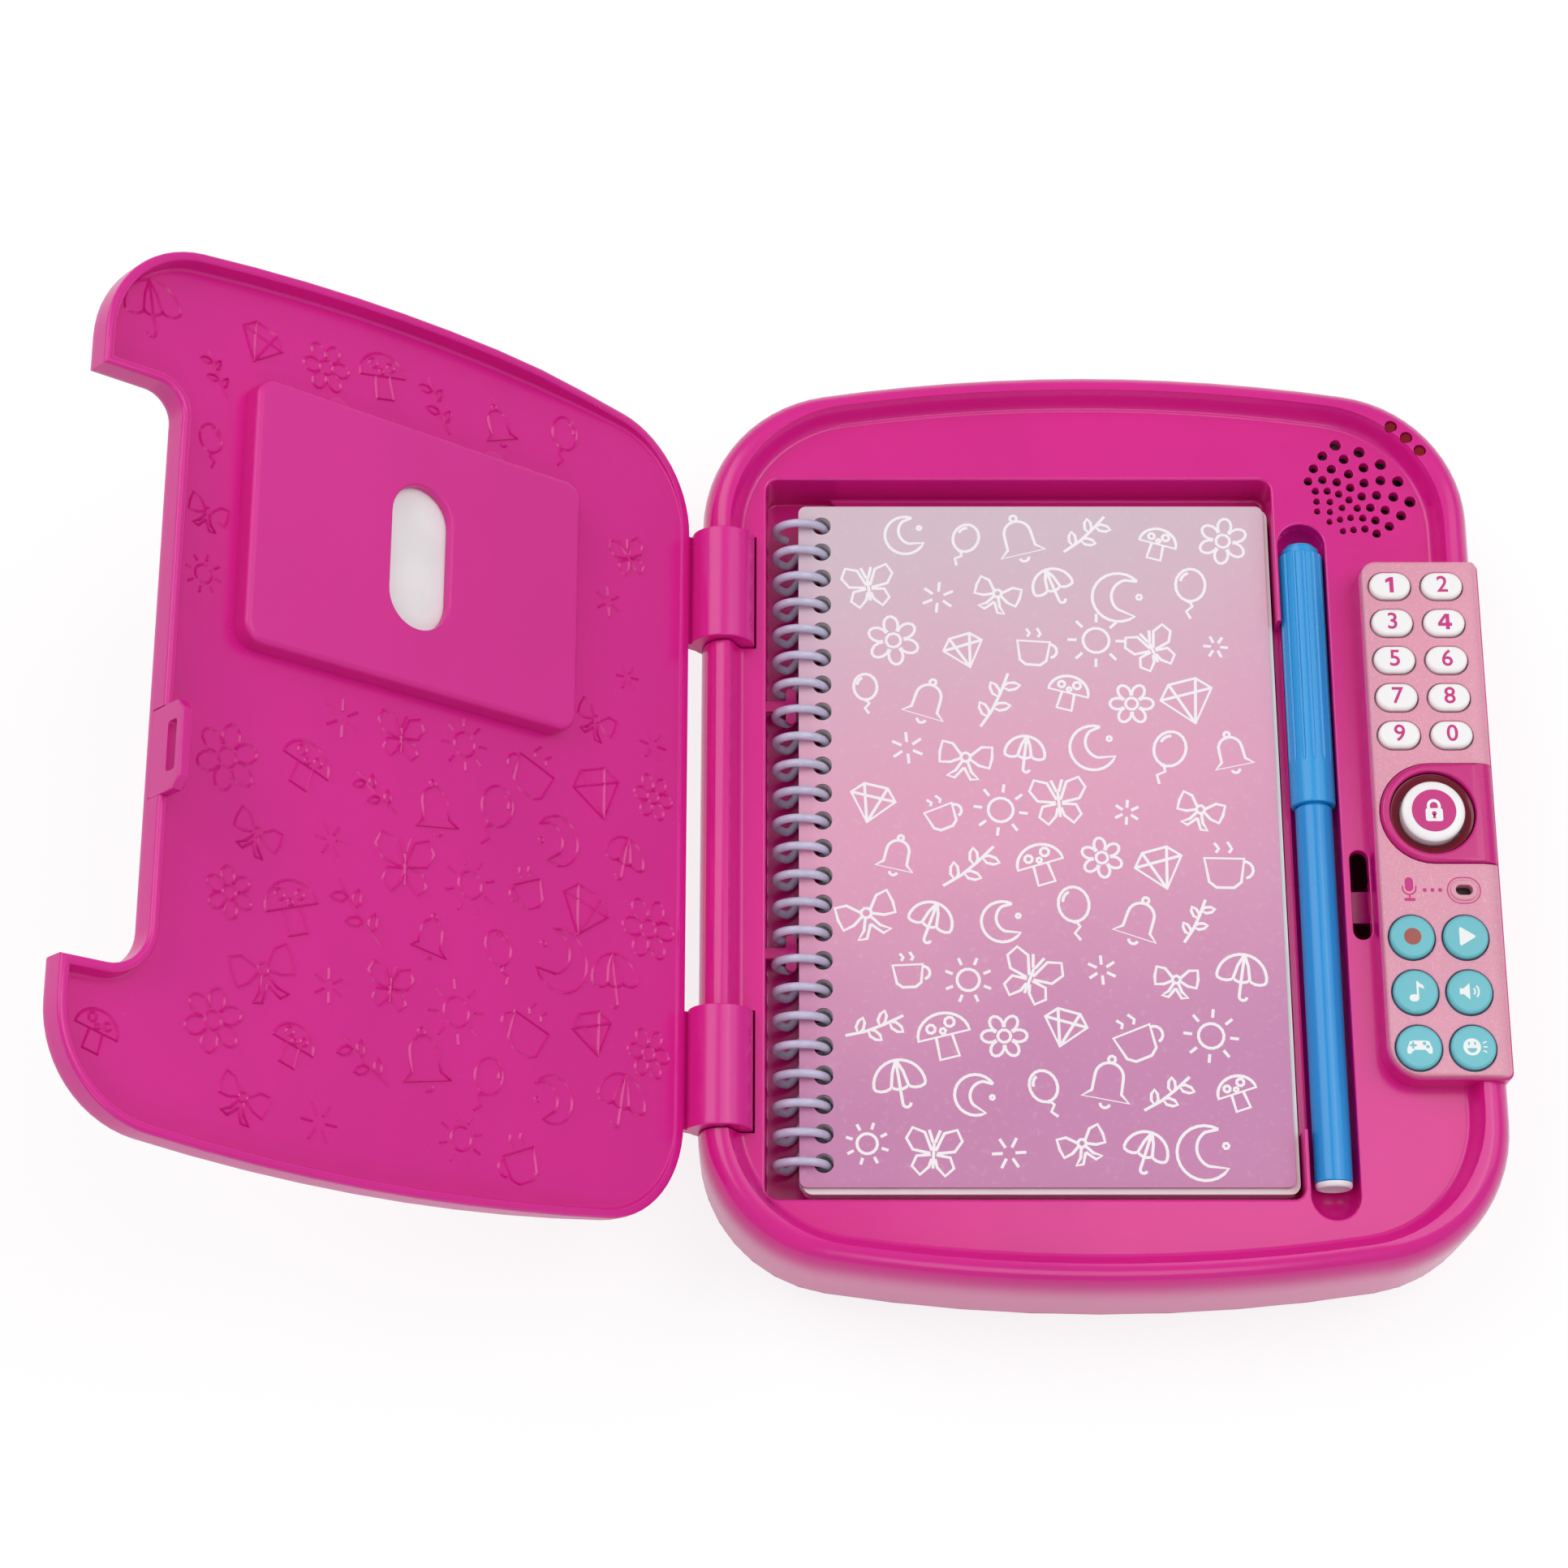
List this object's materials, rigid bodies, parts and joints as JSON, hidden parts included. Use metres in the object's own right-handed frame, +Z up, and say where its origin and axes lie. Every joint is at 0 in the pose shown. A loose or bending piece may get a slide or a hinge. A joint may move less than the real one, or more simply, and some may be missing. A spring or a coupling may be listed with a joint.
{
  "type": "electronic secret diary",
  "caption": "Toy diary case with a hinged lid notched round a keypad lock, holding a coil-bound notebook and a capped pen, shown open with the lid on its stop.",
  "frame": {"origin": "centre of the case's flat underside, on the surface that it rests on", "axes": "+Z up, +X from the hinge towards the keypad, +Y away from the reader, along the hinge"},
  "size_m": [0.272, 0.198, 0.1275],
  "materials": {
    "case_pink": "moulded, semi-gloss",
    "lid_pink": "moulded, semi-gloss",
    "shell_mauve": "moulded, satin",
    "bezel_pearl": "pearl lacquer with a fine sparkle",
    "white_plastic": "gloss",
    "button_turquoise": "gloss",
    "ring_red": "dark translucent, drawn opaque",
    "led_orange": "tinted lens",
    "mat_rubber": "matt",
    "board_green": "lacquered circuit board",
    "black_plastic": "matt",
    "steel": "bright plated",
    "inner_pink": "matt",
    "winding_copper": "wound wire, taped",
    "cell_jacket": "plain jacket",
    "card_white": "coated card",
    "grey_board": "grey board",
    "coil_wire": "coated wire",
    "paper": "uncoated paper",
    "cover_print": "laminated print",
    "pen_blue": "gloss",
    "cap_blue": "gloss",
    "ink_tube": "satin"
  },
  "bodies": {
    "base": {"base_top_shell": "case_pink", "base_bottom_shell": "shell_mauve", "keypad_bezel": "bezel_pearl", "lock_surround": "case_pink", "lock_light_ring": "ring_red", "keypad_mat": "mat_rubber", "keypad_board": "board_green", "microphone": "black_plastic", "status_leds": "led_orange", "speaker_frame": "steel", "speaker_cone": "black_plastic", "latch_guide": "inner_pink", "latch_solenoid": "winding_copper", "battery_cells": "cell_jacket", "battery_contacts": "steel", "case_screws": "steel", "hinge_pins": "steel"},
    "lid": {"lid_cover": "lid_pink", "lid_latch_loop": "lid_pink", "card_pocket": "lid_pink"},
    "card": {"picture_card": "card_white"},
    "bolt": {"latch_bolt": "steel"},
    "door": {"battery_door": "shell_mauve", "battery_door_screw": "steel"},
    "notebook": {"notebook_back_board": "grey_board", "notebook_coil": "coil_wire", "notebook_back_pages": "paper"},
    "front_pages": {"notebook_front_pages": "paper"},
    "front_cover": {"notebook_front_cover": "cover_print"},
    "pen": {"pen_barrel": "pen_blue", "pen_nib": "steel", "pen_ink_tube": "ink_tube", "pen_end_plug": "white_plastic"},
    "cap": {"pen_cap": "cap_blue"},
    "key_0": {"key_0": "white_plastic"},
    "key_1": {"key_1": "white_plastic"},
    "key_2": {"key_2": "white_plastic"},
    "key_3": {"key_3": "white_plastic"},
    "key_4": {"key_4": "white_plastic"},
    "key_5": {"key_5": "white_plastic"},
    "key_6": {"key_6": "white_plastic"},
    "key_7": {"key_7": "white_plastic"},
    "key_8": {"key_8": "white_plastic"},
    "key_9": {"key_9": "white_plastic"},
    "unlock_button": {"unlock_button": "white_plastic"},
    "record_button": {"record_button": "button_turquoise"},
    "play_button": {"play_button": "button_turquoise"},
    "music_button": {"music_button": "button_turquoise"},
    "volume_button": {"volume_button": "button_turquoise"},
    "games_button": {"games_button": "button_turquoise"},
    "mood_button": {"mood_button": "button_turquoise"}
  },
  "joints": [
    {"name": "lid_hinge", "type": "hinge", "parent": "base", "child": "lid", "pos_m": [-0.0765, 0, 0.0305], "axis": [0, -1, 0], "range_deg": [-138.7, 0]},
    {"name": "card_slide", "type": "slide", "parent": "lid", "child": "card", "axis": [0, 1, 0], "range_m": [0, 0.018]},
    {"name": "bolt_slide", "type": "slide", "parent": "base", "child": "bolt", "axis": [1, 0, 0], "range_m": [-0.0038, 0]},
    {"name": "door_drop", "type": "slide", "parent": "base", "child": "door", "axis": [0, 0, -1], "range_m": [0, 0.015]},
    {"name": "notebook_tilt", "type": "hinge", "parent": "base", "child": "notebook", "pos_m": [-0.06025, 0, 0.0235], "axis": [0, -1, 0], "range_deg": [0, 20]},
    {"name": "cover_turn", "type": "hinge", "parent": "notebook", "child": "front_cover", "pos_m": [-0.06025, 0, 0.0235], "axis": [0, -1, 0], "range_deg": [0, 84]},
    {"name": "pages_turn", "type": "hinge", "parent": "notebook", "child": "front_pages", "pos_m": [-0.06025, 0, 0.0235], "axis": [0, -1, 0], "range_deg": [0, 42]},
    {"name": "pen_lift", "type": "slide", "parent": "base", "child": "pen", "axis": [0, 0, 1], "range_m": [0, 0.04]},
    {"name": "cap_pull", "type": "slide", "parent": "pen", "child": "cap", "axis": [0, 1, 0], "range_m": [0, 0.0016]},
    {"name": "key_0_press", "type": "slide", "parent": "base", "child": "key_0", "axis": [0, 0, -1], "range_m": [0, 0.0009], "stiffness_N_per_m": 300, "springref_m": -0.0006},
    {"name": "key_1_press", "type": "slide", "parent": "base", "child": "key_1", "axis": [0, 0, -1], "range_m": [0, 0.0009], "stiffness_N_per_m": 300, "springref_m": -0.0006},
    {"name": "key_2_press", "type": "slide", "parent": "base", "child": "key_2", "axis": [0, 0, -1], "range_m": [0, 0.0009], "stiffness_N_per_m": 300, "springref_m": -0.0006},
    {"name": "key_3_press", "type": "slide", "parent": "base", "child": "key_3", "axis": [0, 0, -1], "range_m": [0, 0.0009], "stiffness_N_per_m": 300, "springref_m": -0.0006},
    {"name": "key_4_press", "type": "slide", "parent": "base", "child": "key_4", "axis": [0, 0, -1], "range_m": [0, 0.0009], "stiffness_N_per_m": 300, "springref_m": -0.0006},
    {"name": "key_5_press", "type": "slide", "parent": "base", "child": "key_5", "axis": [0, 0, -1], "range_m": [0, 0.0009], "stiffness_N_per_m": 300, "springref_m": -0.0006},
    {"name": "key_6_press", "type": "slide", "parent": "base", "child": "key_6", "axis": [0, 0, -1], "range_m": [0, 0.0009], "stiffness_N_per_m": 300, "springref_m": -0.0006},
    {"name": "key_7_press", "type": "slide", "parent": "base", "child": "key_7", "axis": [0, 0, -1], "range_m": [0, 0.0009], "stiffness_N_per_m": 300, "springref_m": -0.0006},
    {"name": "key_8_press", "type": "slide", "parent": "base", "child": "key_8", "axis": [0, 0, -1], "range_m": [0, 0.0009], "stiffness_N_per_m": 300, "springref_m": -0.0006},
    {"name": "key_9_press", "type": "slide", "parent": "base", "child": "key_9", "axis": [0, 0, -1], "range_m": [0, 0.0009], "stiffness_N_per_m": 300, "springref_m": -0.0006},
    {"name": "unlock_button_press", "type": "slide", "parent": "base", "child": "unlock_button", "axis": [0, 0, -1], "range_m": [0, 0.0009], "stiffness_N_per_m": 300, "springref_m": -0.0006},
    {"name": "record_button_press", "type": "slide", "parent": "base", "child": "record_button", "axis": [0, 0, -1], "range_m": [0, 0.0009], "stiffness_N_per_m": 300, "springref_m": -0.0006},
    {"name": "play_button_press", "type": "slide", "parent": "base", "child": "play_button", "axis": [0, 0, -1], "range_m": [0, 0.0009], "stiffness_N_per_m": 300, "springref_m": -0.0006},
    {"name": "music_button_press", "type": "slide", "parent": "base", "child": "music_button", "axis": [0, 0, -1], "range_m": [0, 0.0009], "stiffness_N_per_m": 300, "springref_m": -0.0006},
    {"name": "volume_button_press", "type": "slide", "parent": "base", "child": "volume_button", "axis": [0, 0, -1], "range_m": [0, 0.0009], "stiffness_N_per_m": 300, "springref_m": -0.0006},
    {"name": "games_button_press", "type": "slide", "parent": "base", "child": "games_button", "axis": [0, 0, -1], "range_m": [0, 0.0009], "stiffness_N_per_m": 300, "springref_m": -0.0006},
    {"name": "mood_button_press", "type": "slide", "parent": "base", "child": "mood_button", "axis": [0, 0, -1], "range_m": [0, 0.0009], "stiffness_N_per_m": 300, "springref_m": -0.0006}
  ],
  "couplings": [
    {"joint": "pages_turn", "follows": "cover_turn", "ratio": 0.5}
  ]
}
